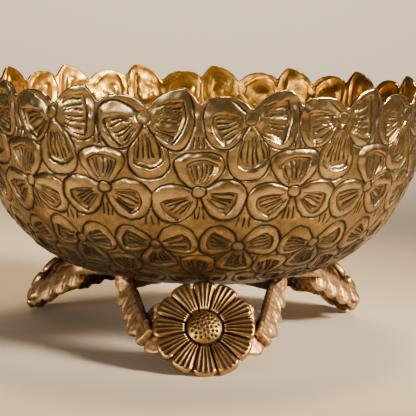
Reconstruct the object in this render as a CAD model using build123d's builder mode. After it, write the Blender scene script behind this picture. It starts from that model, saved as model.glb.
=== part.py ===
"""Footed brass urli bowl: a beaten bowl with a petal rim, riveted to three cast sunflower feet.

Millimetres, +Z up. The origin is on the table under the bowl's centre, and the front foot is on -Y.
"""

import os
from math import cos, pi, radians, sin

from build123d import *

# Bowl: one beaten brass sheet
rim_radius = 150.0  # outside of the wall at the notches between rim petals
bowl_depth = 118.0  # underside of the base up to those notches
base_radius = 50.0  # flat middle of the base
sheet = 1.6
rim_lean = 4.0  # degrees that the wall leans outwards at the rim
knuckle_pull = 54.0  # how strongly the wall's curve runs on level from the base
wall_pull = 77.0  # how strongly it runs on straight down from the rim

# Rim: every flower of the top row ends in two petals, one low and round, one tall and pointed
rim_flowers = 16
low_petal_rise = 4.6
tall_petal_rise = 9.3
tall_petal_tip = 19.5  # sideways from the flower's middle to the tall petal's tip
button_notch_drop = 2.0  # how much deeper the notch over a flower's middle is
notch_flat = 1.0  # half width of the flat bottom of the notch between two flowers
rim_turn = -2.7  # degrees that the rim's petals are turned, so a notch isn't quite over the front foot

# Feet: three alike, each a leaf bracket with a sunflower and the rivets that hold them
foot_height = 42.0  # table to the underside of the base
foot_turns = {"front": 0, "rear_right": 120, "rear_left": 240}

# Sunflower
flower_lean = 35.6  # degrees that its face looks up from level
flower_radius = 31.0  # to the petals' tips
petal_round = 3.5  # how far a petal's tip stands out past the notches beside it
flower_petals = 12
flower_thickness = 4.5
flower_wall_gap = 0.6  # from the top petal's front edge to the bowl's wall
foot_cut = 1.2  # how much is filed off the lowest petal so that the foot stands flat

# Leaf bracket: a back leaf behind the sunflower and two arms that end in tongues under the base
leaf_edge = [  # back leaf's right half: notch, lobe's tip, notch and so on, from its top down
    (22.5, 19.0),
    (34.0, 13.5),
    (38.0, 4.0),
    (41.0, -2.0),
    (36.0, -7.5),
    (32.0, -13.5),
    (24.5, -15.0),
]
leaf_thickness = 5.0
arm_thickness = 5.0
arm_foot = (37.0, 3.5, -8.0)  # arm's lower end from the sunflower's middle: sideways, up and back
arm_head = (47.0, 60.0)  # arm's upper end: sideways and outwards from the bowl's axis
arm_head_drop = 1.0  # how far the middle of that end is below the base
arm_splay = 31.0  # degrees from upright that its lower edge turns outwards
arm_up = 8.0  # from its middle line to its smooth upper edge
arm_down = 6.5  # from its middle line to the notches between the lobes of its lower edge
arm_lobes = 4
lobe_depth = 4.0
arm_overrun = 14.0  # how far both its ends run on, into the back leaf and under the bowl
tongue_thickness = 4.0
tongue_width = 14.0
rivet_place = (28.0, 32.0)  # rivet in the tongue: sideways and outwards

# Rivets
rivet_radius = 2.5
rivet_head_radius = 5.0
rivet_head_height = 2.2
seed_head_radius = 10.3
seed_head_height = 4.2
seed_rivet_radius = 3.0
seed_tail_radius = 5.5
seed_tail_height = 2.2
hole_gap = 0.05  # all round a rivet in its hole
wall_stations = 12  # points that carry the wall's curve over to its inside

rim_height = foot_height + bowl_depth
petal_top = rim_height + tall_petal_rise
half_pitch = rim_radius * sin(pi / rim_flowers)
lean = radians(flower_lean)
splay = radians(arm_splay)

with BuildLine() as wall_line:
    # The bowl's outside as radius and height, from the edge of the flat base up to the rim
    wall = Bezier(
        (base_radius, foot_height),
        (base_radius + knuckle_pull, foot_height),
        (
            rim_radius - wall_pull * sin(radians(rim_lean)),
            rim_height - wall_pull * cos(radians(rim_lean)),
        ),
        (rim_radius, rim_height),
    )


def wall_radius(height):
    """Outer radius of the bowl at a height, by halving the wall's curve."""
    low, high = 0.0, 1.0
    for _ in range(40):
        middle = (low + high) / 2
        if (wall @ middle).Y < height:
            low = middle
        else:
            high = middle
    return (wall @ low).X


def inner_point(share):
    """The point of the bowl's inside that lies square to a point of the wall's curve."""
    return wall @ share + (wall % share).rotate(Axis.Z, 90) * sheet


def dome(apex, edge):
    """Arc of a half section from a dome's apex, on its axis, to its edge."""
    rise = abs(apex[1] - edge[1])
    radius = (edge[0] ** 2 + rise**2) / (2 * rise)
    return RadiusArc(apex, edge, radius if apex[1] > edge[1] else -radius)


def rivet_section(head, shank_radius, tail, seat, under):
    """Lines of a rivet's half section about local Y: head and tail are each a radius and a height."""
    dome((0, seat + head[1]), (head[0], seat))
    Polyline((head[0], seat), (shank_radius, seat), (shank_radius, under), (tail[0], under))
    dome((0, under - tail[1]), (tail[0], under))
    Line((0, under - tail[1]), (0, seat + head[1]))


def at(sideways, outwards, up=0.0):
    """A point of the front foot."""
    return Vector(sideways, -outwards, up)


with BuildPart() as bowl_space:
    # Everything inside the bowl's outer skin: what sits against the bowl is trimmed with it
    with BuildSketch(Plane.XZ):
        with BuildLine():
            Polyline((base_radius, foot_height), (0, foot_height), (0, rim_height), wall @ 1)
            add(wall)
        make_face()
    revolve(axis=Axis.Z)

# The sunflower's back lies in this plane, leaning back, with its top edge just clear of the wall
flower_middle = flower_radius * cos(lean) - foot_cut
flower_top = flower_middle + flower_radius * cos(lean) + flower_thickness * sin(lean)
flower_top_reach = wall_radius(flower_top) + flower_wall_gap
flower_reach = flower_top_reach + flower_radius * sin(lean) - flower_thickness * cos(lean)
flower_plane = Plane(
    origin=at(0, flower_reach, flower_middle),
    x_dir=(1, 0, 0),
    z_dir=at(0, cos(lean), sin(lean)),
)

# An arm's middle plane, with X along the arm and Y up to its smooth edge
arm_start = flower_plane.from_local_coords(arm_foot)
arm_line = at(*arm_head, foot_height - arm_head_drop) - arm_start
arm_face = Vector(cos(splay), 0, sin(splay))
arm_plane = Plane(
    origin=arm_start,
    x_dir=arm_line,
    z_dir=arm_face - arm_line * (arm_face.dot(arm_line) / arm_line.dot(arm_line)),
)

# The tongue's underside, with X along it from the rivet to the arm
tongue_line = at(*arm_head) - at(*rivet_place)
tongue_plane = Plane(
    origin=at(*rivet_place, foot_height - tongue_thickness) + tongue_line / 2,
    x_dir=tongue_line,
    z_dir=(0, 0, 1),
)

# ---- bowl ----
with BuildPart() as rim_cutter:
    # What is cut away above one flower of the top row
    with BuildSketch(Plane.XZ.offset(rim_radius / 2)):
        with BuildLine():
            left = (-half_pitch + notch_flat, rim_height)
            middle = (0, rim_height - button_notch_drop)
            tip = (tall_petal_tip, petal_top)
            right = (half_pitch - notch_flat, rim_height)
            ThreePointArc(left, (-half_pitch / 2, rim_height + low_petal_rise), middle)
            ThreePointArc(middle, (tip[0] * 0.47, rim_height + tall_petal_rise * 0.6), tip)
            ThreePointArc(tip, (half_pitch * 0.87, rim_height + tall_petal_rise * 0.66), right)
            Polyline(
                right,
                (half_pitch + notch_flat, rim_height),
                (half_pitch + notch_flat, petal_top + tall_petal_rise),
                (-half_pitch - notch_flat, petal_top + tall_petal_rise),
                (-half_pitch - notch_flat, rim_height),
                left,
            )
        make_face()
    extrude(amount=rim_radius)

with BuildPart() as bowl:
    with BuildSketch(Plane.XZ):
        with BuildLine():
            inside = [inner_point(number / wall_stations) for number in range(wall_stations + 1)]
            Line((0, foot_height), (base_radius, foot_height))
            add(wall)
            outer_rise = PolarLine(wall @ 1, tall_petal_rise + sheet, 90 - rim_lean)
            inner_rise = PolarLine(inside[-1], tall_petal_rise + sheet, 90 - rim_lean)
            Line(outer_rise @ 1, inner_rise @ 1)
            Spline(*inside, tangents=(wall % 0, wall % 1))
            Polyline(inside[0], (0, foot_height + sheet), (0, foot_height))
        make_face()
    revolve(axis=Axis.Z)
    with PolarLocations(0, rim_flowers, start_angle=180 / rim_flowers + rim_turn):
        add(rim_cutter.part, mode=Mode.SUBTRACT)
    for turn in foot_turns.values():
        with Locations(Location((0, 0, foot_height + sheet), (0, 0, turn))):
            with Locations(at(*rivet_place), at(-rivet_place[0], rivet_place[1])):
                Hole(rivet_radius + hole_gap, depth=2 * sheet)

# ---- sunflower ----
with BuildPart() as sunflower:
    with BuildSketch(flower_plane):
        with BuildLine():
            petal_turn = 360 / flower_petals
            notch = Vector(flower_radius - petal_round, 0)
            for number in range(flower_petals):
                ThreePointArc(
                    notch.rotate(Axis.Z, (number - 0.5) * petal_turn),
                    Vector(flower_radius, 0).rotate(Axis.Z, number * petal_turn),
                    notch.rotate(Axis.Z, (number + 0.5) * petal_turn),
                )
        make_face()
        Circle(seed_rivet_radius + hole_gap, mode=Mode.SUBTRACT)
    extrude(amount=flower_thickness)
    split(bisect_by=Plane.XY)

# ---- seed head: the domed rivet through the sunflower and the back leaf ----
with BuildPart() as seed_head:
    with BuildSketch(Plane(flower_plane.origin, flower_plane.x_dir, -flower_plane.y_dir)):
        with BuildLine():
            rivet_section(
                (seed_head_radius, seed_head_height),
                seed_rivet_radius,
                (seed_tail_radius, seed_tail_height),
                flower_thickness,
                -leaf_thickness,
            )
        make_face()
    revolve(axis=Axis(flower_plane.origin, flower_plane.z_dir))

# ---- leaf bracket ----
with BuildPart() as leaf_bracket:
    with BuildSketch(flower_plane):
        with BuildLine():
            top, bottom = leaf_edge[0], leaf_edge[-1]
            Polyline(bottom, (0, bottom[1]), (0, top[1]), top)
            for upper, tip, lower in zip(leaf_edge[::2], leaf_edge[1::2], leaf_edge[2::2]):
                ThreePointArc(upper, tip, lower)
        make_face()
    extrude(amount=-leaf_thickness)
    with BuildSketch(arm_plane):
        with BuildLine():
            start = -arm_overrun
            end = arm_line.length + arm_overrun
            lobe = arm_line.length / arm_lobes
            Polyline((0, -arm_down), (start, -arm_down), (start, arm_up), (end, arm_up), (end, -arm_down))
            Line((end, -arm_down), (arm_line.length, -arm_down))
            for number in range(arm_lobes):
                ThreePointArc(
                    (number * lobe, -arm_down),
                    ((number + 0.5) * lobe, -arm_down - lobe_depth),
                    ((number + 1) * lobe, -arm_down),
                )
        make_face()
    extrude(amount=arm_thickness / 2, both=True)
    split(bisect_by=flower_plane, keep=Keep.BOTTOM)
    with BuildSketch(tongue_plane):
        SlotCenterToCenter(tongue_line.length, tongue_width)
    extrude(amount=2 * tongue_thickness)
    add(bowl_space.part, mode=Mode.SUBTRACT)
    with Locations(at(*rivet_place, foot_height)):
        Hole(rivet_radius + hole_gap, depth=2 * tongue_thickness)
    mirror(about=Plane.YZ)
    with Locations(flower_plane):
        Hole(seed_rivet_radius + hole_gap, depth=2 * leaf_thickness)

# ---- tongue rivet: its head is inside the bowl and its tail under the tongue ----
with BuildPart() as right_rivet:
    with BuildSketch(Plane(at(*rivet_place), (1, 0, 0), (0, -1, 0))):
        with BuildLine():
            rivet_section(
                (rivet_head_radius, rivet_head_height),
                rivet_radius,
                (rivet_head_radius, rivet_head_height),
                foot_height + sheet,
                foot_height - tongue_thickness,
            )
        make_face()
    revolve(axis=Axis(at(*rivet_place), (0, 0, 1)))

with BuildPart() as left_rivet:
    mirror(right_rivet.part, about=Plane.YZ)


def write(piece, name):
    piece.label = name
    export_step(piece, f"parts/{name}.step")


os.makedirs("parts", exist_ok=True)
write(bowl.part, "bowl")
for foot, turn in foot_turns.items():
    foot_pieces = {
        "leaf_bracket": leaf_bracket,
        "sunflower": sunflower,
        "seed_head": seed_head,
        "right_rivet": right_rivet,
        "left_rivet": left_rivet,
    }
    for name, piece in foot_pieces.items():
        with BuildPart() as placed:
            add(piece.part, rotation=(0, 0, turn))
        write(placed.part, f"{name}_{foot}")
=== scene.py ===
import math

import bmesh
import bpy
import numpy as np
from mathutils import Matrix, Vector


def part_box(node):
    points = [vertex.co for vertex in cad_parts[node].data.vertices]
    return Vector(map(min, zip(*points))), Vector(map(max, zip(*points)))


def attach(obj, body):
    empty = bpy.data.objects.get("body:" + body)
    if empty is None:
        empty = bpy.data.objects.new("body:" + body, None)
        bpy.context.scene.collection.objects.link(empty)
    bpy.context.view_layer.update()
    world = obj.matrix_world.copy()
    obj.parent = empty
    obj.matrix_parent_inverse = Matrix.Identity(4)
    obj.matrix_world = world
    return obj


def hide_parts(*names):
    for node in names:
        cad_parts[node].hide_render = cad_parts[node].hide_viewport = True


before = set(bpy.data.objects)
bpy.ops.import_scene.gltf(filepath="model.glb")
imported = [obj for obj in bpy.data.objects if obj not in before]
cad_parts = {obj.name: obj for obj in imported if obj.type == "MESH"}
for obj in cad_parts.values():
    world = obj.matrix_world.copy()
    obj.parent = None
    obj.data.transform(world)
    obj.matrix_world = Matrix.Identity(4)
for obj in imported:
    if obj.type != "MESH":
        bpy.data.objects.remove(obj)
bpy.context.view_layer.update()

# Sizes are in millimetres until a piece is finished, when its mesh is scaled to metres.
MM = 0.001

# ---- sizes of the bowl, as it was drawn ----
base_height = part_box("bowl")[0][2] / MM
rim_radius = 150.0
bowl_depth = 118.0
base_radius = 50.0
sheet = 1.6
rim_lean = math.radians(4.0)
knuckle_pull = 54.0
wall_pull = 77.0

# Rim petals
rim_flowers = 16
tall_petal_rise = 9.3
rim_turn = math.radians(-2.7)  # so that a notch isn't quite over the front foot
half_turn = math.pi / rim_flowers

# Feet
foot_turns = {"front": 0, "rear_right": 120, "rear_left": 240}
flower_lean = math.radians(35.6)
flower_radius = 31.0
flower_thickness = 4.5
leaf_thickness = 5.0
foot_cut = 1.2
seed_head_radius = 10.3
seed_head_height = 4.2
seed_dots = 36
golden_turn = 2.39996  # between one punched dot and the next
shank_size, tail_size, tail_height = 3.0, 5.5, 2.2
tongue_thickness = 4.0
arm_thickness = 5.0
flower_petals = 12
flower_wall_gap = 0.6
rivet_place = (28.0, 32.0)
arm_head = (47.0, 60.0)


# ---- the wall's curve: every point of the sheet is told by its way down from the rim ----
def wall_table():
    """Way down from the rim notch, radius and height, from above the tallest petal to the middle."""
    share = np.linspace(1, 0, 600)[:, None]
    pulls = np.array([
        (base_radius, 0),
        (base_radius + knuckle_pull, 0),
        (rim_radius - wall_pull * math.sin(rim_lean), bowl_depth - wall_pull * math.cos(rim_lean)),
        (rim_radius, bowl_depth),
    ])
    rest = 1 - share
    curve = (
        rest**3 * pulls[0]
        + 3 * rest**2 * share * pulls[1]
        + 3 * rest * share**2 * pulls[2]
        + share**3 * pulls[3]
    )
    rise = 2 * tall_petal_rise
    above = (rim_radius + rise * math.sin(rim_lean), bowl_depth + rise * math.cos(rim_lean))
    path = np.vstack([[above], curve, [(0, 0)]])
    steps = np.hypot(*np.diff(path, axis=0).T)
    down = np.concatenate([[0], np.cumsum(steps)]) - rise
    return down, path[:, 0], path[:, 1] + base_height


way_down, way_radius, way_height = wall_table()
base_way = way_down[-1]  # from the rim notch to the middle of the base
slope_down = np.gradient(way_height, way_down)
slope_out = np.gradient(way_radius, way_down)


def on_wall(down, turn, lift):
    """Points at a way down the wall and a turn from the front, lifted square off its surface."""
    radius = np.interp(down, way_down, way_radius) - lift * np.interp(down, way_down, slope_down)
    height = np.interp(down, way_down, way_height) + lift * np.interp(down, way_down, slope_out)
    return np.stack([radius * np.sin(turn), -radius * np.cos(turn), height + 0 * turn], axis=-1)


def underside_height(radius):
    """Height of the bowl's outside over a radius, below its widest part."""
    return np.interp(radius, way_radius[::-1], way_height[::-1])


def ring_mesh(name, places, **marks):
    """A closed mesh from places[row, column]: columns run round, and the end rows are its poles."""
    rows, columns = places.shape[:2]
    bm = bmesh.new()
    bmesh.ops.create_grid(bm, x_segments=columns, y_segments=rows - 1, size=0.5)
    mesh = bpy.data.meshes.new(name)
    bm.to_mesh(mesh)
    grid = np.empty(len(mesh.vertices) * 3)
    mesh.vertices.foreach_get("co", grid)
    column = np.rint((grid[0::3] + 0.5) * columns).astype(int) % columns
    row = np.rint((grid[1::3] + 0.5) * (rows - 1)).astype(int)
    mesh.vertices.foreach_set("co", places[row, column].ravel())
    for mark, values in marks.items():
        layer = mesh.attributes.new(mark, "FLOAT", "POINT")
        layer.data.foreach_set("value", values[row, column].astype(np.float32))
    bm.clear()
    bm.from_mesh(mesh)
    bm.verts.ensure_lookup_table()
    seam = np.flatnonzero((column == 0) | (row == 0) | (row == rows - 1))
    bmesh.ops.remove_doubles(bm, verts=[bm.verts[i] for i in seam], dist=1e-4)
    bmesh.ops.recalc_face_normals(bm, faces=bm.faces)
    bm.to_mesh(mesh)
    bm.free()
    return mesh


def modified(mesh, kind, **settings):
    """The mesh that one modifier makes of a mesh."""
    holder = bpy.data.objects.new("holder", mesh)
    bpy.context.scene.collection.objects.link(holder)
    modifier = holder.modifiers.new(kind, kind)
    for key, value in settings.items():
        setattr(modifier, key, value)
    made = bpy.data.meshes.new_from_object(holder.evaluated_get(bpy.context.evaluated_depsgraph_get()))
    bpy.data.objects.remove(holder)
    return made


def joined(meshes):
    """One mesh of several."""
    bm = bmesh.new()
    for mesh in meshes:
        bm.from_mesh(mesh)
    whole = bpy.data.meshes.new("joined")
    bm.to_mesh(whole)
    bm.free()
    return whole


def finish_piece(name, mesh, finish, nodes):
    """Scales a piece from millimetres to metres, gives it its finish, sets it under the root body and hides
    the parts that it stands for.
    """
    mesh.transform(Matrix.Scale(MM, 4))
    mesh.polygons.foreach_set("use_smooth", [True] * len(mesh.polygons))
    mesh.materials.clear()
    mesh.materials.append(finish)
    piece = bpy.data.objects.new(name, mesh)
    bpy.context.scene.collection.objects.link(piece)
    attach(piece, "root")
    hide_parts(*nodes)
    return piece


def softened(field, times):
    """A field over rows and columns, softened with its neighbours; columns run round."""
    for _ in range(times):
        field = (2 * field + np.roll(field, 1, 1) + np.roll(field, -1, 1)) / 4
        padded = np.vstack([field[:1], field, field[-1:]])
        field = (2 * field + padded[:-2] + padded[2:]) / 4
    return field


def line_mark(distance, width):
    """How deep a chased line is at a distance from its middle, as a share of its depth."""
    return np.exp(-((distance / width) ** 2))


def distance_to(x, y, path):
    """Distance from points to a path of straight steps."""
    best = np.full(x.shape, np.inf)
    for (ax, ay), (bx, by) in zip(path[:-1], path[1:]):
        dx, dy = bx - ax, by - ay
        share = np.clip(((x - ax) * dx + (y - ay) * dy) / (dx * dx + dy * dy + 1e-9), 0, 1)
        best = np.minimum(best, (x - ax - share * dx) ** 2 + (y - ay - share * dy) ** 2)
    return np.sqrt(best)


# ---- finishes ----
def linear(hex_colour):
    """A linear colour from an sRGB hex value."""
    parts = [int(hex_colour[i : i + 2], 16) / 255 for i in (1, 3, 5)]
    return [p / 12.92 if p <= 0.04045 else ((p + 0.055) / 1.055) ** 2.4 for p in parts] + [1]


def add_node(tree, kind, values=None, links=None, **settings):
    """Adds a node with its settings, its input values and the sockets that feed it."""
    node = tree.nodes.new(kind)
    for key, value in settings.items():
        setattr(node, key, value)
    for key, value in (values or {}).items():
        node.inputs[key].default_value = value
    for key, socket in (links or {}).items():
        tree.links.new(socket, node.inputs[key])
    return node


def per_size(millimetres):
    """Scale of a noise whose features are about this large."""
    return 1 / (millimetres * MM)


speckle_size = 2.2


def antique_brass(name, colours, rough, blotch=25.0, grain=0.8, grain_depth=0.05):
    """Brass with a bronzed patina: near black in the chased lines, rubbed bright on what stands out.

    Its colours go from rubbed metal, through clean and brown, to the black of a line. The piece's own
    marks say where: the patina mark is 1 at the bottom of a line, and on the bowl and the brackets it
    also carries painted shade; rub is 1 on a crest; and inside is 1 on the bowl's inside, which is
    tinted more golden as a painted glow of warm light bouncing inside the bowl. Its grain is the
    hammer's and the scouring pad's, drawn as coarse as it needs to show. Blotches, grain and its depth
    are in millimetres.
    """
    bright, clean, brown, dark = colours
    finish = bpy.data.materials.new(name)
    finish.use_nodes = True
    tree = finish.node_tree
    tree.nodes.clear()
    place = add_node(tree, "ShaderNodeTexCoord").outputs["Object"]
    patina = add_node(tree, "ShaderNodeAttribute", attribute_name="patina").outputs["Fac"]
    rub = add_node(tree, "ShaderNodeAttribute", attribute_name="rub").outputs["Fac"]
    blotches = add_node(
        tree,
        "ShaderNodeTexNoise",
        {"Scale": per_size(blotch), "Detail": 5, "Roughness": 0.6},
        {"Vector": place},
    )
    speckle = add_node(
        tree,
        "ShaderNodeTexNoise",
        {"Scale": per_size(speckle_size), "Detail": 4, "Roughness": 0.7},
        {"Vector": place},
    )
    uneven = add_node(
        tree,
        "ShaderNodeMapRange",
        {"From Min": 0.3, "From Max": 0.7, "To Min": -0.16, "To Max": 0.20},
        {"Value": blotches.outputs["Fac"]},
    )
    spotted = add_node(
        tree,
        "ShaderNodeMapRange",
        {"From Min": 0.35, "From Max": 0.7, "To Min": -0.07, "To Max": 0.10},
        {"Value": speckle.outputs["Fac"]},
    )
    mottle = add_node(
        tree, "ShaderNodeMath", None, {0: uneven.outputs[0], 1: spotted.outputs[0]}, operation="ADD"
    )
    darkened = add_node(tree, "ShaderNodeMath", None, {0: patina, 1: mottle.outputs[0]}, operation="ADD")
    tarnish = add_node(
        tree, "ShaderNodeMath", {1: -0.35}, {0: rub, 2: darkened.outputs[0]}, operation="MULTIPLY_ADD"
    )
    toned = add_node(tree, "ShaderNodeValToRGB", None, {"Fac": tarnish.outputs[0]})
    ramp = toned.color_ramp
    ramp.elements[0].position, ramp.elements[0].color = 0.0, linear(bright)
    ramp.elements[1].position, ramp.elements[1].color = 0.95, linear(dark)
    ramp.elements.new(0.28).color = linear(clean)
    ramp.elements.new(0.58).color = linear(brown)
    inside = add_node(tree, "ShaderNodeAttribute", attribute_name="inside").outputs["Fac"]
    # Painted light: the bowl's inside is multiplied towards gold, a painted glow of warm light bouncing
    # inside the bowl.
    painted_inside_glow = add_node(
        tree,
        "ShaderNodeMix",
        {7: (0.76, 0.54, 0.18, 1.0)},
        {0: inside, 6: toned.outputs["Color"]},
        data_type="RGBA",
        blend_type="MULTIPLY",
    )
    worn = add_node(
        tree,
        "ShaderNodeMapRange",
        {"From Min": -0.1, "From Max": 0.9, "To Min": rough - 0.08, "To Max": rough + 0.30},
        {"Value": tarnish.outputs[0]},
    )
    roughness = add_node(
        tree, "ShaderNodeMath", {1: 0.12}, {0: inside, 2: worn.outputs[0]}, operation="MULTIPLY_ADD"
    )
    metal = add_node(
        tree,
        "ShaderNodeMapRange",
        {"From Min": 0.55, "From Max": 1.0, "To Min": 1.0, "To Max": 0.35},
        {"Value": tarnish.outputs[0]},
    )
    fine = add_node(
        tree, "ShaderNodeTexNoise", {"Scale": per_size(grain), "Detail": 3}, {"Vector": place}
    )
    bump = add_node(
        tree,
        "ShaderNodeBump",
        {"Strength": 0.6, "Distance": grain_depth * MM},
        {"Height": fine.outputs["Fac"]},
    )
    shader = add_node(
        tree,
        "ShaderNodeBsdfPrincipled",
        None,
        {
            "Base Color": painted_inside_glow.outputs[2],
            "Roughness": roughness.outputs[0],
            "Metallic": metal.outputs[0],
            "Normal": bump.outputs["Normal"],
        },
    )
    add_node(tree, "ShaderNodeOutputMaterial", None, {"Surface": shader.outputs["BSDF"]})
    return finish


# Sheet brass beaten, chased and antiqued: a smooth satin shine, with black left in every line
chased_brass = antique_brass(
    "chased_sheet_brass_antiqued", ("#C8AC7C", "#987C4E", "#5A4A2E", "#120B05"), rough=0.24
)
# Brass cast in sand and left matt: a dull pinkish brown skin with a coarse grain
foot_brass = antique_brass(
    "sand_cast_brass_matt",
    ("#C6A070", "#98744C", "#5A4028", "#140C06"),
    rough=0.52,
    blotch=9.0,
    grain=1.2,
    grain_depth=0.12,
)
# Cast brass under a dark patina: brown petals whose ribs are rubbed to a shine
petal_brass = antique_brass(
    "cast_brass_dark_patina",
    ("#A8844F", "#684C2C", "#342412", "#0E0804"),
    rough=0.38,
    blotch=12.0,
    grain=1.0,
)
# Cast brass handled more than the petals: a lighter dome with black in its dots
seed_brass = antique_brass(
    "cast_brass_seed_head", ("#B08C54", "#86683A", "#4A341A", "#120B05"), rough=0.38
)
# Brass rivets closed with a hammer: bright heads, a little dull between the blows
rivet_brass = antique_brass(
    "hammered_rivet_brass", ("#D9B070", "#A87C44", "#6B4A22", "#1A1008"), rough=0.4
)


# ---- bowl: chased flowers ----
# Each row of flowers: its way down from the rim, how far it is set over (in flowers), its buttons'
# radius, and its petals: direction, length, half width, where it is widest (as a share of its
# length), how far its inner panel is turned from it, the panel's half width, how wide the panel
# starts (as a share of that), and its strokes.
flower_rows = [
    (122.0, 0.0, 3.4, [
        (90, 24.5, 11.0, 0.70, 0, 7.0, 0.35, 5),
        (196, 17.5, 9.5, 0.60, 0, 4.5, 0.35, 3),
        (344, 17.5, 9.5, 0.60, 0, 4.5, 0.35, 3),
    ]),
    (89.0, 0.5, 3.8, [
        (168, 24.5, 12.5, 0.60, 2, 6.6, 0.32, 4),
        (12, 24.5, 12.5, 0.60, -2, 6.6, 0.32, 4),
        (270, 25.0, 11.0, 0.68, 0, 6.8, 0.40, 5),
    ]),
    (50.0, 0.0, 3.9, [
        (90, 25.5, 15.0, 0.72, 0, 8.8, 0.36, 5),
        (204, 28.5, 14.0, 0.60, 6, 7.4, 0.30, 5),
        (336, 28.5, 14.0, 0.60, -6, 7.4, 0.30, 5),
    ]),
    (7.5, 0.475, 3.7, [
        (270, 36.5, 13.2, 0.66, 0, 8.6, 0.55, 5),
        (192, 28.0, 15.0, 0.61, 9, 9.2, 0.36, 5),
        (0, 28.5, 17.5, 0.62, -1, 11.8, 0.62, 6),
    ]),
]
# Short strokes that fill the gaps, in twos and threes: the way down and how
# far set over their middle is, how far apart they are, how long, and how many
gap_strokes = [
    (20.5, 0.0, 3.0, 5.5, 3),
    (31.0, 0.0, 4.0, 3.0, 2),
    (64.0, 0.0, 2.6, 8.0, 3),
    (70.0, 0.5, 3.4, 6.0, 3),
    (101.0, 0.25, 3.0, 5.0, 2),
    (101.0, 0.75, 3.0, 5.0, 2),
]
pattern_end = 150.0  # way down at which the flowers stop
pillow_height = 1.5  # of a petal over its outline
pillow_slope = 1.5  # how far in from its outline a petal has mostly risen
petal_arch = 0.7  # more height along a petal's length
field_height = 0.9  # of the sheet between the petals
panel_depth = 2.0  # of a petal's inner panel at its crown
panel_start, panel_corner, panel_crown = 0.21, 0.72, 0.81  # as shares of the petal's length
line_depth = 0.85
outline_width = 0.38
panel_line_width = 0.30
stroke_width = 0.31
sink = 0.5  # the flowers stand about as far over the sheet's drawn surface as their lines sink under it
block_margin = 8.0  # how far past a flower its work is looked at


# The rim over one flower: sideways from its button, and how far it stands over the notches
rim_path = [
    (-29.3, 0.0), (-27.5, 1.9), (-24.0, 3.9), (-19.0, 4.9), (-13.0, 4.9), (-8.0, 3.7), (-4.0, 1.5),
    (-1.5, -1.2), (0.0, -1.9), (1.5, -1.2), (4.5, 2.6), (9.0, 5.9), (14.0, 8.0), (18.0, 9.0),
    (20.8, tall_petal_rise), (22.0, 8.8), (24.5, 6.4), (27.0, 3.0), (29.3, 0.0),
]


def rim_rise(turn):
    """How far the rim stands over its notches at a turn from the front."""
    sideways = ((turn / half_turn) % 2 - 1) * rim_path[-1][0]
    rise = np.interp(sideways, *zip(*rim_path))
    for _ in range(2):
        rise = (2 * rise + np.roll(rise, 1) + np.roll(rise, -1)) / 4
    return rise


def petal_edge(along, length, half_width, widest):
    """Half width of a petal: narrow at its button, widest far out, and blunt at its end."""
    swell = np.sin(np.clip(along / (widest * length), 0, 1) * np.pi / 2) ** 0.85
    cap = np.clip((along / length - widest) / (1 - widest), 0, 1)
    return half_width * swell * (1 - cap**2.4) ** (1 / 2.4)


def chase_panel(rng, along, across, pillow, length, petal):
    """A petal with its inner panel, a fan sunk deepest at its outer edge: its shape and its lines."""
    panel_turn, panel_width, narrow, strokes = petal
    lean = math.radians(panel_turn + rng.uniform(-6, 6))
    panel_along = along * math.cos(lean) + across * math.sin(lean)
    panel_across = -along * math.sin(lean) + across * math.cos(lean)
    skew = rng.uniform(-0.16, 0.16)
    panel_along = panel_along - skew * panel_across
    start, crown = panel_start * length, panel_crown * length
    corner = panel_corner * length * rng.uniform(0.96, 1.03)

    def half_width(distance):
        share = np.clip((distance - start) / (corner - start), 0, 1)
        return panel_width * (narrow + (1 - narrow) * np.sin(share * np.pi / 2) ** 1.1)

    side = [(at, half_width(at)) for at in np.linspace(start, corner, 6)]
    bow = [(crown - (crown - corner) * u * u, panel_width * u) for u in np.linspace(1, -1, 9)]
    from_line = distance_to(panel_along, panel_across, side + bow + [(at, -w) for at, w in side[::-1]])
    crown_here = crown - (crown - corner) * np.clip(panel_across / panel_width, -1, 1) ** 2
    inside = np.abs(panel_across) < half_width(panel_along)
    inside &= (panel_along > start) & (panel_along < crown_here)
    sunk = panel_depth * np.clip((panel_along - start) / (crown - start), 0, 1) ** 0.9
    wall = np.clip(from_line / 0.7, 0, 1)
    shape = np.where(
        inside,
        pillow - 0.4 - sunk * wall * wall * (3 - 2 * wall),
        pillow - 0.4 * np.exp(-from_line / 1.1),
    )

    edge_mark = rng.uniform(0.35, 0.7) + 0.4 * (panel_along > corner - 1.5)
    marks = np.clip(edge_mark, 0, 1) * line_mark(from_line, panel_line_width)
    for number in range(strokes):
        share = (number + 0.5) / strokes * 2 - 1 + rng.uniform(-0.08, 0.08)
        first = length * (0.29 + rng.uniform(-0.04, 0.04))
        last = length * (0.72 - 0.08 * share * share + rng.uniform(-0.06, 0.02))
        steps = np.linspace(first, last, 5)
        bend = rng.uniform(-0.9, 0.9)
        spread = 0.88 * share * np.array([half_width(at) for at in steps])
        stroke = list(zip(steps, spread + bend * np.sin(np.linspace(0, np.pi, 5))))
        swell = stroke_width * (0.75 + 0.75 * np.clip((panel_along - first) / (last - first), 0, 1))
        from_stroke = distance_to(panel_along, panel_across, stroke)
        marks = np.maximum(marks, rng.uniform(0.75, 1) * line_mark(from_stroke, swell))
    return shape, marks


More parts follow.
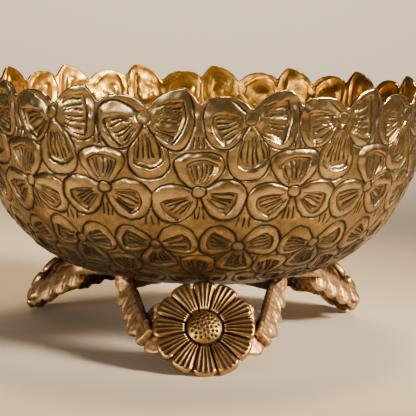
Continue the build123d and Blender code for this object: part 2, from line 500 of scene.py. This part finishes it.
def chase_flowers(down, turn):
    """Relief of the chased flowers over the sheet: height, lines, and where no petal is."""
    rng = np.random.default_rng(7)
    height = np.zeros(down.shape)
    lines = np.zeros(down.shape)
    bare = np.ones(down.shape)
    columns = down.shape[1]

    def block_round(way, middle, reach):
        radius = np.interp(way, way_down, way_radius)
        span = int((reach + block_margin) / radius / (2 * np.pi) * columns) + 1
        centre = int(round(middle / (2 * np.pi) * columns))
        picked_rows = np.flatnonzero(np.abs(down[:, 0] - way) < reach + 2 * block_margin)
        picked = np.ix_(picked_rows, np.arange(centre - span, centre + span + 1) % columns)
        around = (turn[picked] - middle + np.pi) % (2 * np.pi) - np.pi
        x = around * np.interp(down[picked], way_down, way_radius)
        return picked, x, way - down[picked]

    def put(picked, shape, inside, marks):
        height[picked] = np.where(inside, shape, height[picked])
        lines[picked] = np.where(inside, marks, np.maximum(lines[picked], marks))
        bare[picked] = np.where(inside, 0, bare[picked])

    def chase_petal(way, middle, petal):
        direction, length, half_width, widest = petal[:4]
        length *= rng.uniform(0.93, 1.05)
        half_width *= rng.uniform(0.91, 1.05)
        lean = math.radians(direction + rng.uniform(-4.5, 4.5))
        picked, x, y = block_round(way, middle, length)
        along = x * math.cos(lean) + y * math.sin(lean)
        across = -x * math.sin(lean) + y * math.cos(lean)
        stations = length * (0.08 + 0.92 * np.sin(np.linspace(0, np.pi / 2, 16)))
        side = list(zip(stations, petal_edge(stations, length, half_width, widest)))
        inside = np.abs(across) < petal_edge(along, length, half_width, widest)
        inside &= (along > side[0][0]) & (along < length)
        from_outline = distance_to(along, across, side + [(at, -w) for at, w in side[::-1]])
        pillow = pillow_height * (1 - np.exp(-from_outline / pillow_slope))
        pillow = pillow + petal_arch * np.sin(np.pi * np.clip(along / length, 0, 1) ** 0.8) - 0.3
        outline = rng.uniform(0.7, 1) * line_mark(from_outline, outline_width * rng.uniform(0.85, 1.25))
        shape, marks = chase_panel(rng, along, across, pillow, length, petal[4:])
        put(picked, shape, inside, np.maximum(outline, marks))

    for way, set_over, button, petals in flower_rows:
        for number in range(rim_flowers):
            middle = (number + set_over) * 2 * half_turn + rng.uniform(-1, 1) * 0.004
            here = way + rng.uniform(-0.8, 0.8)
            for petal in petals:
                chase_petal(here, middle, petal)
            picked, x, y = block_round(here, middle, button)
            out = np.hypot(x, y) / button
            dome = 0.6 + 0.8 * np.sqrt(np.clip(1 - out * out, 0, 1))
            ring = 0.5 if way < 10 else 1.0  # the buttons on the rim have hardly any ring
            put(picked, dome, out < 1, ring * line_mark((out - 1) * button, outline_width))
    for way, set_over, apart, long, count in gap_strokes:
        for number in range(rim_flowers):
            middle = (number + set_over) * 2 * half_turn
            picked, x, y = block_round(way, middle, long + apart)
            for place in np.arange(count) - (count - 1) / 2:
                at_x = place * apart * rng.uniform(0.9, 1.1)
                slant = rng.uniform(-0.8, 0.8)
                stroke = [(at_x - slant, -long / 2), (at_x + slant, long / 2)]
                marks = line_mark(distance_to(x, y, stroke), stroke_width) * bare[picked]
                lines[picked] = np.maximum(lines[picked], marks)
    return height, lines, bare


def hammer_marks(down, turn, seed):
    """The sheet's unevenness from the hammer, which closes on itself round the bowl."""
    rng = np.random.default_rng(seed)
    field = np.zeros(down.shape)
    for _ in range(60):
        round_ = rng.integers(-150, 150)
        along = rng.uniform(0.02, 0.9)
        field += np.cos(round_ * turn + along * down + rng.uniform(0, 6.3)) / (1 + 0.02 * abs(round_))
    return field / 6


def base_dents(down, turn):
    """Shallow dents from planishing, which cover the plain base inside."""
    rng = np.random.default_rng(4)
    radius = np.interp(down, way_down, way_radius)
    x, y = radius * np.sin(turn), radius * np.cos(turn)
    field = np.zeros(down.shape)
    for _ in range(24):
        heading, wave = rng.uniform(0, 2 * np.pi), rng.uniform(0.35, 0.75)
        field += np.cos(wave * (x * np.cos(heading) + y * np.sin(heading)) + rng.uniform(0, 6.3))
    return field / 24 * np.clip((down - 138) / 16, 0, 1)


def sheet_sector(name, places, normals, marks, columns):
    """A closed wedge of a closed sheet: some of its columns, with flat sides that meet on the axis."""
    rows, count = places.shape[0], len(columns)
    bm = bmesh.new()
    bmesh.ops.create_grid(bm, x_segments=count - 1, y_segments=rows - 1, size=0.5)
    mesh = bpy.data.meshes.new(name)
    bm.to_mesh(mesh)
    grid = np.empty(len(mesh.vertices) * 3)
    mesh.vertices.foreach_get("co", grid)
    column = columns[np.rint((grid[0::3] + 0.5) * (count - 1)).astype(int)]
    row = np.rint((grid[1::3] + 0.5) * (rows - 1)).astype(int)
    mesh.vertices.foreach_set("co", places[row, column].ravel())
    for mark, values in marks.items():
        layer = mesh.attributes.new(mark, "FLOAT", "POINT")
        layer.data.foreach_set("value", values[row, column].astype(np.float32))
    layer = mesh.attributes.new("facing", "FLOAT_VECTOR", "POINT")
    layer.data.foreach_set("vector", normals[row, column].astype(np.float32).ravel())
    bm.clear()
    bm.from_mesh(mesh)
    bm.verts.ensure_lookup_table()
    ends = [bm.verts[i] for i in np.flatnonzero((row == 0) | (row == rows - 1))]
    bmesh.ops.remove_doubles(bm, verts=ends, dist=1e-4)
    poles = [vert for vert in bm.verts if math.hypot(vert.co.x, vert.co.y) < 1e-3]
    axis = bmesh.ops.contextual_create(bm, geom=poles)["edges"]
    open_edges = [edge for edge in bm.edges if edge.is_boundary]
    middle = places[rows // 3, columns[count // 2]]
    for side in (-1, 1):
        chosen = []
        for edge in open_edges:
            spot = (edge.verts[0].co + edge.verts[1].co) / 2
            if (middle[0] * spot.y - middle[1] * spot.x) * side > 0:
                chosen.append(edge)
        bmesh.ops.edgeloop_fill(bm, edges=chosen + axis)
    bmesh.ops.recalc_face_normals(bm, faces=bm.faces)
    bm.to_mesh(mesh)
    bm.free()
    return mesh


# How the sheet is worked, in millimetres unless a share is said
flower_columns = 100  # steps round the bowl for each flower
bowl_sectors = 10
level_rows = 16.0  # the rows of points run level from this far down the wall
hammer_depth = 0.30
hand_strays, hand_turns = 0.45, 0.004  # how far a line strays down the wall, and in radians round it
rim_flare, rim_flare_reach = 1.7, 4.5  # the sheet stands out to its edge
lip_round = 0.4
planish_depth = 0.22  # of the dents in the plain base


def worked_outside(down, turn, from_rim):
    """The chased outside: its lift, its marks, and the relief and lines that show inside."""
    strays = hammer_marks(0.6 * down, turn, 21), hammer_marks(0.6 * down, turn, 22)
    height, lines, bare = chase_flowers(down + hand_strays * strays[0], turn + hand_turns * strays[1])
    ends = np.clip((pattern_end + 4 - down) / 8, 0, 1)
    height = np.where(bare > 0, field_height, height) * ends
    lines = lines * ends * np.clip(0.9 + 0.4 * hammer_marks(down, turn, 9), 0.4, 1.1)
    at_rim = np.exp(-((from_rim / rim_flare_reach) ** 2))
    height = height * (1 - at_rim) + rim_flare * at_rim
    lines = lines * np.clip((from_rim - 0.6) / 2.0, 0, 1)
    soft = softened(height, 3) + hammer_depth * hammer_marks(down, turn, 3) * ends
    lift = soft - line_depth * lines - sink * ends

    broad = softened(soft, 24)
    crest = np.clip(soft - broad, 0, 1) + 0.5 * np.exp(-from_rim)
    hollow = np.clip((broad - soft) * 0.35, 0, 0.35)
    # Painted shade: the outside is darkened towards the bottom, where the bowl turns under and faces its
    # own shadow; it goes into the patina mark.
    under = np.clip((down - 50) / 80, 0, 1)
    grime = softened(np.clip(lines, 0, 1), 3)
    patina = np.clip(1.35 * lines + 0.26 * grime + 0.16 + 0.6 * hollow + 0.46 * under, 0, 1.2)
    back = softened(soft - 0.8 * line_depth * lines, 2) - sink * ends
    return lift, patina, np.clip(crest, 0, 1), back, lines


def bowl():
    """The beaten bowl, chased outside and showing the same flowers from behind inside."""
    columns = rim_flowers * flower_columns
    turn = np.linspace(0, 2 * np.pi, columns, endpoint=False)
    rise = rim_rise(turn)
    outer_rows = np.concatenate([
        [base_way],
        np.arange(base_way - 1, 156, -4.0),
        np.arange(155, 134, -0.8),
        np.arange(134, 0, -0.55),
        [0.0],
    ])
    inner_rows = np.concatenate([
        np.arange(0, 60, 1.0),
        np.arange(60, 150, 1.7),
        np.arange(150, base_way, 2.5),
        [base_way],
    ])

    def ways(rows):
        return rows[:, None] - rise * np.clip(1 - rows[:, None] / level_rows, 0, 1)

    def inside_of(field):
        rows = [np.interp(inner_rows, outer_rows[::-1], field[::-1, column]) for column in range(columns)]
        return np.stack(rows, axis=1)

    outer, inner = ways(outer_rows), ways(inner_rows)
    around = np.broadcast_to(turn, outer.shape)
    lift, patina, crest, back, lines = worked_outside(outer, around, outer + rise)
    inner_back, inner_lines = inside_of(back), inside_of(lines)
    dents = inner_back - softened(inner_back, 20)
    planished = base_dents(inner, np.broadcast_to(turn, inner.shape))
    inner_lift = 0.8 * inner_back - 0.25 * inner_lines - sheet + planish_depth * planished
    base_patina = (0.46 + 0.5 * planished) * np.clip((inner - 125) / 40, 0, 1)
    inner_patina = np.clip(0.12 + 0.6 * dents + 0.3 * inner_lines + base_patina, 0, 1)
    lip_way = np.stack([-rise - 0.45, -rise - 0.45])
    lip_lift = np.stack([lift[-1] - lip_round, inner_lift[0] + lip_round])

    way = np.vstack([outer, lip_way, inner])
    wound = np.broadcast_to(turn + rim_turn, way.shape)
    places = on_wall(way, wound, np.vstack([lift, lip_lift, inner_lift]))
    marks = {
        "patina": np.vstack([patina, 0 * lip_way + 0.1, inner_patina]),
        "inside": np.vstack([0 * patina, 0 * lip_way, 1 + 0 * inner]),
        "rub": np.vstack([crest, 0 * lip_way + 0.9, np.clip(0.30 - 0.8 * dents, 0, 1)]),
    }
    across = np.roll(places, -1, 1) - np.roll(places, 1, 1)
    normals = np.cross(across, np.gradient(places, axis=0))
    normals[0], normals[-1] = (0, 0, -1), (0, 0, 1)
    normals /= np.linalg.norm(normals, axis=2)[..., None]
    each = columns // bowl_sectors
    for sector in range(bowl_sectors):
        picked = np.arange(sector * each, (sector + 1) * each + 1) % columns
        mesh = sheet_sector(f"chased_bowl_{sector + 1}", places, normals, marks, picked)
        finish_piece(mesh.name, mesh, chased_brass, ["bowl"])
        facing = np.empty(len(mesh.vertices) * 3)
        mesh.attributes["facing"].data.foreach_get("vector", facing)
        mesh.normals_split_custom_set_from_vertices(facing.reshape(-1, 3))
        mesh.attributes.remove(mesh.attributes["facing"])


# ---- feet: built as the front one, then turned into their places ----
flower_middle = flower_radius * math.cos(flower_lean) - foot_cut
flower_top = (
    flower_middle
    + flower_radius * math.cos(flower_lean)
    + flower_thickness * math.sin(flower_lean)
)
flower_reach = (
    np.interp(flower_top, way_height[::-1], way_radius[::-1])
    + flower_wall_gap
    + flower_radius * math.sin(flower_lean)
    - flower_thickness * math.cos(flower_lean)
)
flower_up = Vector((0, math.sin(flower_lean), math.cos(flower_lean)))
flower_out = Vector((0, -math.cos(flower_lean), math.sin(flower_lean)))
flower_origin = Vector((0, -flower_reach, flower_middle))


def along_axes(origin, axes, shares):
    """Points from their shares along three axes."""
    return np.array(origin) + sum(share[..., None] * np.array(axis) for share, axis in zip(shares, axes))


def on_flower(sideways, up, out):
    return along_axes(flower_origin, ((1, 0, 0), flower_up, flower_out), (sideways, up, out))


def cavity_marks(mesh, reach, gain, ground, shade=None):
    """Marks a cast piece: patina in its hollows, any painted shade that shade gives, and rub on its
    crests, over about a reach of steps.
    """
    count = len(mesh.vertices)
    where = np.empty(count * 3)
    normal = np.empty(count * 3)
    ends = np.empty(len(mesh.edges) * 2, dtype=int)
    mesh.vertices.foreach_get("co", where)
    mesh.vertices.foreach_get("normal", normal)
    mesh.edges.foreach_get("vertices", ends)
    where, normal, ends = where.reshape(-1, 3), normal.reshape(-1, 3), ends.reshape(-1, 2)
    near = np.maximum(np.bincount(ends.ravel(), minlength=count), 1)[:, None]
    smooth = where.copy()
    for _ in range(reach):
        total = np.stack(
            [
                np.bincount(ends[:, 0], smooth[ends[:, 1], axis], count)
                + np.bincount(ends[:, 1], smooth[ends[:, 0], axis], count)
                for axis in range(3)
            ],
            axis=1,
        )
        smooth = (smooth + total / near) / 2
    hollow = ((smooth - where) * normal).sum(axis=1) * gain
    # Patina in the hollows, plus the painted shade that shade gives.
    dark = ground + hollow + (shade(where, normal) if shade else 0)
    for mark, values in (("patina", np.clip(dark, 0, 1.1)), ("rub", np.clip(-hollow, 0, 1))):
        layer = mesh.attributes.new(mark, "FLOAT", "POINT")
        layer.data.foreach_set("value", values.astype(np.float32))


def in_each_foot(name, mesh, finish, node):
    """Puts a finished front piece into all three feet."""
    for foot, turn in foot_turns.items():
        copy = mesh.copy()
        copy.transform(Matrix.Rotation(math.radians(turn), 4, "Z"))
        finish_piece(f"{name}_{foot}", copy, finish, [f"{node}_{foot}"])
    bpy.data.meshes.remove(mesh)


def sunflower():
    """Twelve blunt petals with ribs, round a sunk ring for the seed head."""
    columns = flower_petals * 36
    turn = np.linspace(0, 2 * np.pi, columns, endpoint=False)
    petal = (turn / (2 * np.pi) * flower_petals + 0.5) % 1 * 2 - 1  # -1 to 1 across each petal
    number = np.floor(turn / (2 * np.pi) * flower_petals + 0.5) % flower_petals
    rng = np.random.default_rng(11)
    longer = rng.uniform(-0.5, 0.2, flower_petals)[number.astype(int)]
    reach = 25.8 + (5.1 + longer) * (1 - np.abs(petal) ** 4) ** 0.5
    front_rings, edge_lifts = 66, (1.6, 0.9, 0.2)
    share = np.concatenate([
        np.linspace(0.1, 1, front_rings),
        np.full(len(edge_lifts), 1.0),
        np.linspace(0.98, 0.1, 8),
    ])[:, None]
    ring = np.arange(len(share))[:, None]
    away = share * reach
    ribs = 0.5 - 0.5 * np.cos(petal * np.pi * 4.5)
    rib_fade = np.clip((away - 11.5) / 3, 0, 1) * np.clip((reach - 1.0 - away) / 2.2, 0, 1)
    between = np.exp(-(((1 - np.abs(petal)) * np.pi / flower_petals * away / 0.4) ** 2))
    roll = np.clip((reach - away) / 2.6, 0, 1)
    bowed = 3.4 + 1.3 * np.sin(np.clip((away - 11) / 19, 0, 1) * np.pi * 0.8) * (1 - 0.45 * petal**2)
    out = bowed - 0.7 * (1 - ribs) * rib_fade - 2.4 * between * np.clip((away - 9) / 3, 0, 1)
    out = out - 2.0 * (1 - np.sqrt(np.clip(1 - (1 - roll) ** 2, 0, 1)))
    out = out - 1.6 * np.exp(-(((away - 11.0) / 0.9) ** 2))
    out = out + 0.45 * (number % 2) * np.clip((away - 12) / 6, 0, 1)
    out = np.where(ring < front_rings, out, 0.0)
    for step, lift in enumerate(edge_lifts):
        out = np.where(ring == front_rings + step, lift, out)
    places = on_flower(away * np.sin(turn), away * np.cos(turn), out)
    places[..., 2] = np.maximum(places[..., 2], 0.0)
    mesh = ring_mesh("sunflower", places)
    cavity_marks(mesh, 10, 1.8, ground=0.46)
    in_each_foot("sunflower", mesh, petal_brass, "sunflower")


def seed_head():
    """The domed head with its punched dots, and the tail of its shank behind the back leaf."""
    turn = np.linspace(0, 2 * np.pi, 200, endpoint=False)
    face = np.linspace(0, seed_head_radius, 46)
    dome_radius = (seed_head_radius**2 + seed_head_height**2) / (2 * seed_head_height)
    dome = np.sqrt(dome_radius**2 - face**2) - dome_radius + seed_head_height + flower_thickness - 1.2
    tail = np.linspace(tail_size, 0, 12)
    tail_radius = (tail_size**2 + tail_height**2) / (2 * tail_height)
    behind = -leaf_thickness - (np.sqrt(tail_radius**2 - tail**2) - tail_radius + tail_height)
    shank = [flower_thickness - 3, flower_thickness - 3.4, -leaf_thickness]
    away = np.concatenate([face, [seed_head_radius, shank_size, shank_size], tail])[:, None] + 0 * turn
    out = np.concatenate([dome, shank, behind])[:, None] + 0 * turn
    x, y = away * np.sin(turn), away * np.cos(turn)
    front = (np.arange(len(away)) < len(face))[:, None]
    dark = 0 * out
    for number in range(seed_dots):
        dot_away = 8.9 * math.sqrt((number + 0.5) / seed_dots)
        dot_turn = number * golden_turn
        gap = np.hypot(x - dot_away * math.sin(dot_turn), y - dot_away * math.cos(dot_turn))
        dark = np.maximum(dark, np.exp(-((gap / 0.72) ** 2)) * front)
    out = out - 0.7 * dark
    mesh = ring_mesh("seed_head", on_flower(x, y, out), patina=0.28 + 0.8 * dark, rub=0.4 * (1 - dark))
    in_each_foot("seed_head", mesh, seed_brass, "seed_head")


# The back leaf's right half: sideways and up from the sunflower's middle
back_leaf_outline = [
    (0, 19), (11, 19), (22.5, 19), (29, 18), (34, 13.5), (37, 9), (38, 4), (40.5, 1.5), (41, -2),
    (39.5, -6), (36, -7.5), (35.5, -11.5), (32, -13.8), (27, -14.5), (24.5, -15), (12, -15.5), (0, -15.5),
]

# A bracket's right arm: from the back leaf to the bowl, leaning outwards
arm_foot = (37.0, 3.5, -8.0)  # sideways, up and out from the sunflower's middle
arm_splay = math.radians(31.0)
arm_up, arm_down, arm_lobes, lobe_depth = 8.0, 6.5, 3, 4.6
arm_start = Vector(on_flower(*[np.array(share) for share in arm_foot]))
arm_run = Vector((arm_head[0], -arm_head[1], base_height - 1)) - arm_start
arm_length = arm_run.length
arm_along = arm_run.normalized()
arm_face = Vector((math.cos(arm_splay), 0, math.sin(arm_splay)))
arm_face = (arm_face - arm_along * arm_face.dot(arm_along)).normalized()
arm_rise = arm_face.cross(arm_along)

section_turn = np.linspace(0, 2 * np.pi, 72, endpoint=False)  # round an arm's or a tongue's section
bracket_voxel = 0.62
bracket_triangles = 80000


def squared(half, share):
    """A round section's half size, drawn out towards its corners."""
    return half * np.sign(share) * np.abs(share) ** 0.62


def back_leaf():
    """The leaf behind the sunflower, veined in front."""
    turn = np.linspace(0, 2 * np.pi, 360, endpoint=False)
    angles = [math.atan2(x, y) for x, y in back_leaf_outline]
    lengths = [math.hypot(x, y) for x, y in back_leaf_outline]
    reach = np.interp(np.abs((turn + np.pi) % (2 * np.pi) - np.pi), angles, lengths)
    front_rings = 40
    share = np.concatenate([np.linspace(0.02, 1, front_rings), np.linspace(0.99, 0.02, 12)])[:, None]
    front = (np.arange(len(share)) < front_rings)[:, None]
    away = share * reach
    edge = np.clip((reach - away) / 2.2, 0, 1)
    swell = 0.4 + 0.6 * np.sqrt(np.clip(1 - (1 - edge) ** 2, 0, 1))
    veins = np.exp(-(((np.cos(turn * 9 + 0.8 * np.sin(away / 5)) - 1) / 0.12) ** 2))
    far_out = np.clip((away - 12) / 8, 0, 1)
    out = np.where(front, -2.4 + 2.2 * swell - 0.6 * veins * far_out, -leaf_thickness * swell)
    sideways = away * np.sin(turn)
    out = out - 0.02 * np.clip(np.abs(sideways) - 18, 0, None) ** 2  # it curls back towards the bowl
    return ring_mesh("back_leaf", on_flower(sideways, away * np.cos(turn), out))


def arm():
    """Points of the right arm: lobes on its lower edge, and on its outer face veins and a strap."""
    c, d = np.cos(section_turn), np.sin(section_turn)
    along = np.linspace(-10, arm_length + 12, 90)[:, None]
    lobe = (along / arm_length * arm_lobes) % 1
    lobes = (np.sin(np.pi * lobe) ** 0.7) * ((along > 0) & (along < arm_length))
    low = -arm_down + 0.8 - (lobe_depth + 0.6) * lobes
    tip = np.clip((along - arm_length + 1.0) / 7.0, 0, 1)
    tip_low = -arm_down + 0.8 + (arm_down + 1.0) * np.sqrt(np.clip(1 - (1 - tip) ** 2, 0, 1))
    low = np.where(along > arm_length - 1.0, tip_low, low)
    high = np.full_like(low, arm_up) - 0.8
    middle, half = (low + high) / 2, (high - low) / 2
    half = half * np.sqrt(np.clip(1 - np.clip((along - arm_length - 7) / 5.2, 0, 1) ** 2, 0.002, 1))
    across = middle + squared(half, c)
    from_vein = across - (arm_up - 6.5)
    slant = (along - 0.45 * from_vein) / arm_length * arm_lobes % 1
    creases = np.exp(-((np.minimum(slant, 1 - slant) / 0.06) ** 2)) * np.clip(-from_vein / 3, 0, 1)
    side_veins = sum(np.exp(-(((slant - at_share) / 0.03) ** 2)) for at_share in (0.3, 0.55, 0.78))
    side_veins = side_veins * np.clip(-from_vein / 5, 0, 1)
    swelling = 1.6 * np.sin(np.pi * np.clip(slant, 0, 1)) ** 0.7 * np.clip(-from_vein / 6, 0, 1)
    strap = np.exp(-(((from_vein - 2.5) / 0.6) ** 2))
    worked = 1.2 * swelling - 0.7 * creases - 0.25 * side_veins - 0.5 * strap
    depth = squared(arm_thickness / 2, d) + (d > 0.25) * worked
    return along_axes(arm_start, (arm_along, arm_rise, arm_face), (along + 0 * across, across, depth))


def tongue():
    """Points of the right tongue, which lies under the bowl from the rivet to the arm's head."""
    c, d = np.cos(section_turn), np.sin(section_turn)
    rivet = Vector((rivet_place[0], -rivet_place[1], 0))
    run = Vector((arm_head[0], -arm_head[1], 0)) - rivet
    forward = run.normalized()
    step = np.linspace(-7, run.length + 7, 50)[:, None]
    far = np.clip(np.maximum(-step, step - run.length) / 7, 0, 0.998)
    sideways = squared(7 * np.sqrt(1 - far**2), c)
    places = along_axes(rivet, (forward, forward.cross(Vector((0, 0, 1)))), (step + 0 * sideways, sideways))
    under = underside_height(np.hypot(places[..., 0], places[..., 1]))
    bottom = base_height - tongue_thickness + 0.25
    places[..., 2] = np.where(d > 0, under + 0.6, bottom + (under - bottom) * (1 - np.abs(d) ** 0.5) * 0.8)
    return places


def shaded_faces(where, normal):
    """Painted shade on a bracket, in its patina mark: on the arms' inner faces and edges, and underneath.
    """
    inward = -np.sign(where[:, 0]) * normal[:, 0] * (np.abs(where[:, 0]) > 18)
    mirror = np.stack([np.sign(where[:, 0]), 1 + 0 * inward, 1 + 0 * inward], axis=1)
    right = where * mirror - np.array(arm_start)
    on_arm = (right @ np.array(arm_along) > 0) & (np.abs(where[:, 0]) > 30)
    inner_edge = np.clip((right @ np.array(arm_rise) - arm_up + 3.6) / 0.8, 0, 1) * on_arm
    inner_face = np.clip((inward - 0.25) / 0.3, 0, 1)
    return np.maximum(0.8 * inner_face, 0.7 * inner_edge) + 0.35 * np.clip(-normal[:, 2] - 0.5, 0, 1)


def leaf_bracket():
    """The cast leaf: its back leaf, its two lobed arms and the tongues under the bowl, as one."""
    meshes = [back_leaf()]
    for mirror in (1, -1):
        for name, places in (("arm", arm()), ("tongue", tongue())):
            first, last = (0 * places[:1] + places[end].mean(0) for end in (0, -1))
            meshes.append(ring_mesh(name, np.vstack([first, places, last]) * (mirror, 1, 1)))
    whole = modified(joined(meshes), "REMESH", mode="VOXEL", voxel_size=bracket_voxel)

    where = np.empty(len(whole.vertices) * 3)
    whole.vertices.foreach_get("co", where)
    where = where.reshape(-1, 3)
    normal = np.empty(len(whole.vertices) * 3)
    whole.vertices.foreach_get("normal", normal)
    rng = np.random.default_rng(5)
    sand = sum(np.sin(where @ rng.normal(0, 1.1, 3) + rng.uniform(0, 6.3)) for _ in range(14))
    where = where + normal.reshape(-1, 3) * (0.035 * sand[:, None])
    below_bowl = underside_height(np.hypot(where[:, 0], where[:, 1])) - 0.02
    where[:, 2] = np.maximum(np.minimum(where[:, 2], below_bowl), 0.3)
    whole.vertices.foreach_set("co", where.ravel())
    whole.update()
    made = modified(whole, "DECIMATE", ratio=min(1, bracket_triangles / (2 * len(whole.polygons))))
    cavity_marks(made, 14, 1.1, ground=0.18, shade=shaded_faces)
    in_each_foot("leaf_bracket", made, foot_brass, "leaf_bracket")


bowl()
sunflower()
seed_head()
leaf_bracket()
for node_name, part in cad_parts.items():
    if "rivet" in node_name:
        for slot_number in range(len(part.material_slots)):
            part.material_slots[slot_number].material = rivet_brass


# ---- floor, light and camera, in metres ----
# Each lamp: its name, where it stands, what it points at, its size, its power in watts, its colour,
# and how wide it spreads in degrees
lamps = [
    ("key", (1.00, -0.55, 0.62), (0, 0, 0.13), 0.36, 2.65, "#FFF1DC", 30),
    ("soft_front", (-0.75, -1.45, 0.30), (0, 0, 0.12), 0.9, 1.25, "#FFF6EA", 30),
    ("low_left", (-1.05, -0.70, 0.10), (-0.05, -0.06, 0.015), 0.4, 0.28, "#FFF6EA", 12),
    ("top", (0.1, 0.30, 1.2), (0, 0.02, 0.1), 0.8, 1.5, "#FFDDA8", 20),
    ("sweep", (0.0, 0.9, 2.0), (0, 2.1, 0.2), 1.5, 30.0, "#FFF6E8", 100),
]
sweep_start, sweep_bend = 0.9, 0.45  # where the floor starts to rise behind, and how fast


def studio():
    """A pale floor that sweeps up behind, and soft lamps from the right, the left, above and behind."""
    bm = bmesh.new()
    bmesh.ops.create_grid(bm, x_segments=2, y_segments=60, size=3.0)
    for vert in bm.verts:
        vert.co.z = sweep_bend * max(0.0, vert.co.y - sweep_start) ** 2
    mesh = bpy.data.meshes.new("floor")
    bm.to_mesh(mesh)
    bm.free()
    mesh.polygons.foreach_set("use_smooth", [True] * len(mesh.polygons))
    paper = bpy.data.materials.new("pale_paper")
    paper.use_nodes = True
    paper.node_tree.nodes["Principled BSDF"].inputs["Base Color"].default_value = linear("#DACAB4")
    paper.node_tree.nodes["Principled BSDF"].inputs["Roughness"].default_value = 0.8
    mesh.materials.append(paper)
    floor = bpy.data.objects.new("floor", mesh)
    bpy.context.scene.collection.objects.link(floor)
    world = bpy.data.worlds.new("studio_air")
    bpy.context.scene.world = world
    world.use_nodes = True
    world.node_tree.nodes["Background"].inputs["Color"].default_value = linear("#E6DCCB")
    world.node_tree.nodes["Background"].inputs["Strength"].default_value = 0.11
    for name, place, aim, size, power, colour, spread in lamps:
        lamp = bpy.data.lights.new(name, "AREA")
        lamp.size, lamp.energy, lamp.spread = size, power, math.radians(spread)
        lamp.color = linear(colour)[:3]
        light = bpy.data.objects.new(name, lamp)
        light.location = place
        light.rotation_euler = (Vector(aim) - Vector(place)).to_track_quat("-Z", "Y").to_euler()
        bpy.context.scene.collection.objects.link(light)


def camera():
    """A long lens in front of the bowl, a little over its rim and looking down on it."""
    lens = bpy.data.cameras.new("camera")
    lens.sensor_width = 36
    lens.lens = 121.4
    view = bpy.data.objects.new("camera", lens)
    stand = Vector((0, -922.5, base_height + 172.5)) * MM
    pitch, yaw, roll = math.radians(8.2), math.radians(-0.4), math.radians(1.25)
    view.matrix_world = (
        Matrix.Rotation(rim_turn, 4, "Z")
        @ Matrix.Translation(stand)
        @ Matrix.Rotation(yaw, 4, "Z")
        @ Matrix.Rotation(math.pi / 2 - pitch, 4, "X")
        @ Matrix.Rotation(roll, 4, "Z")
    )
    bpy.context.scene.collection.objects.link(view)
    bpy.context.scene.camera = view


studio()
camera()
